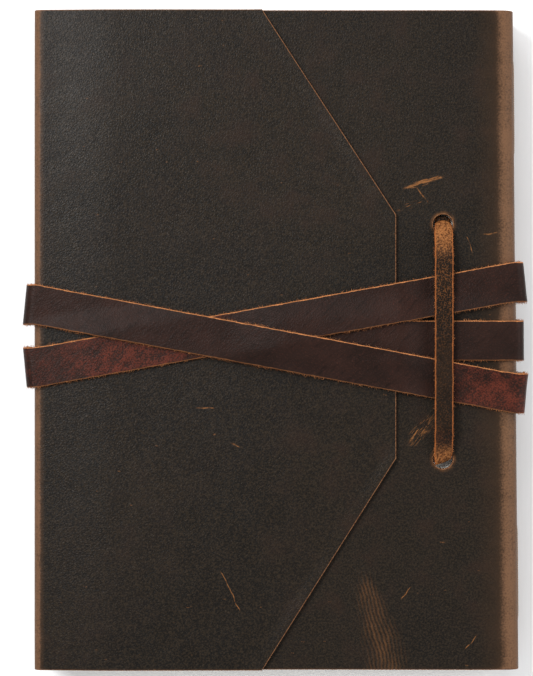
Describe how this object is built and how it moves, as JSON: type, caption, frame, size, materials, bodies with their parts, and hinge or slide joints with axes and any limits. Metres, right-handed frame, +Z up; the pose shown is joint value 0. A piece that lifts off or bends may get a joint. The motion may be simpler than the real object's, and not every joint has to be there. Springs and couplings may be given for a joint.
{
  "type": "leather wrap sketchbook",
  "caption": "Leather-bound sketchbook with a tapered fold-over flap and a long wrap strap that passes under a keeper loop.",
  "frame": {"origin": "on the table, under the middle of the closed book", "axes": "+X towards the spine, +Y towards the head, +Z up through the front cover"},
  "size_m": [0.163, 0.216, 0.0347],
  "materials": {
    "hide": "waxed pull-up hide, satin, with scuffed lighter folds",
    "strap": "dark red-brown hide with raw tan edges",
    "keeper": "stretched brown hide, worn tan at the ends",
    "paper": "matt off-white drawing paper",
    "thread": "waxed linen thread"
  },
  "bodies": {
    "book": {"back_cover": "hide", "sewing_thread_back": "thread", "signature_1": "paper", "signature_2": "paper", "signature_3": "paper", "signature_4": "paper", "signature_5": "paper", "strap_back_run_1": "strap", "strap_back_run_2": "strap", "strap_tail": "strap"},
    "front_cover": {"front_cover": "hide", "sewing_thread_front": "thread", "keeper_strap": "keeper", "keeper_stitching": "thread"},
    "signature_6": {"signature_6": "paper"},
    "signature_7": {"signature_7": "paper"},
    "signature_8": {"signature_8": "paper"},
    "fore_edge_panel": {"fore_edge_panel": "hide"},
    "flap": {"flap": "hide", "strap_stitching": "thread", "strap_fixed_end": "strap", "strap_rising_wrap": "strap", "strap_falling_wrap": "strap"}
  },
  "joints": [
    {"name": "cover_hinge", "type": "hinge", "parent": "book", "child": "front_cover", "pos_m": [0.07965, 0, 0.0159], "axis": [0, 1, 0], "range_deg": [0, 178]},
    {"name": "signature_6_turn", "type": "hinge", "parent": "book", "child": "signature_6", "pos_m": [0.07965, 0, 0.0159], "axis": [0, 1, 0], "range_deg": [0, 170]},
    {"name": "signature_7_turn", "type": "hinge", "parent": "book", "child": "signature_7", "pos_m": [0.07965, 0, 0.0159], "axis": [0, 1, 0], "range_deg": [0, 173]},
    {"name": "signature_8_turn", "type": "hinge", "parent": "book", "child": "signature_8", "pos_m": [0.07965, 0, 0.0159], "axis": [0, 1, 0], "range_deg": [0, 176]},
    {"name": "fore_edge_fold", "type": "hinge", "parent": "book", "child": "fore_edge_panel", "pos_m": [-0.0781, 0, 0.0027], "axis": [0, -1, 0], "range_deg": [0, 90]},
    {"name": "flap_fold", "type": "hinge", "parent": "fore_edge_panel", "child": "flap", "pos_m": [-0.0781, 0, 0.0281], "axis": [0, -1, 0], "range_deg": [0, 90], "deforming": ["flap", "strap_stitching", "strap_fixed_end", "strap_rising_wrap", "strap_falling_wrap"]}
  ],
  "couplings": [
    {"joint": "signature_6_turn", "follows": "cover_hinge", "ratio": 0.95},
    {"joint": "signature_7_turn", "follows": "cover_hinge", "ratio": 0.965},
    {"joint": "signature_8_turn", "follows": "cover_hinge", "ratio": 0.98},
    {"joint": "fore_edge_fold", "follows": "cover_hinge", "ratio": 0.5},
    {"joint": "flap_fold", "follows": "cover_hinge", "ratio": 0.5}
  ]
}
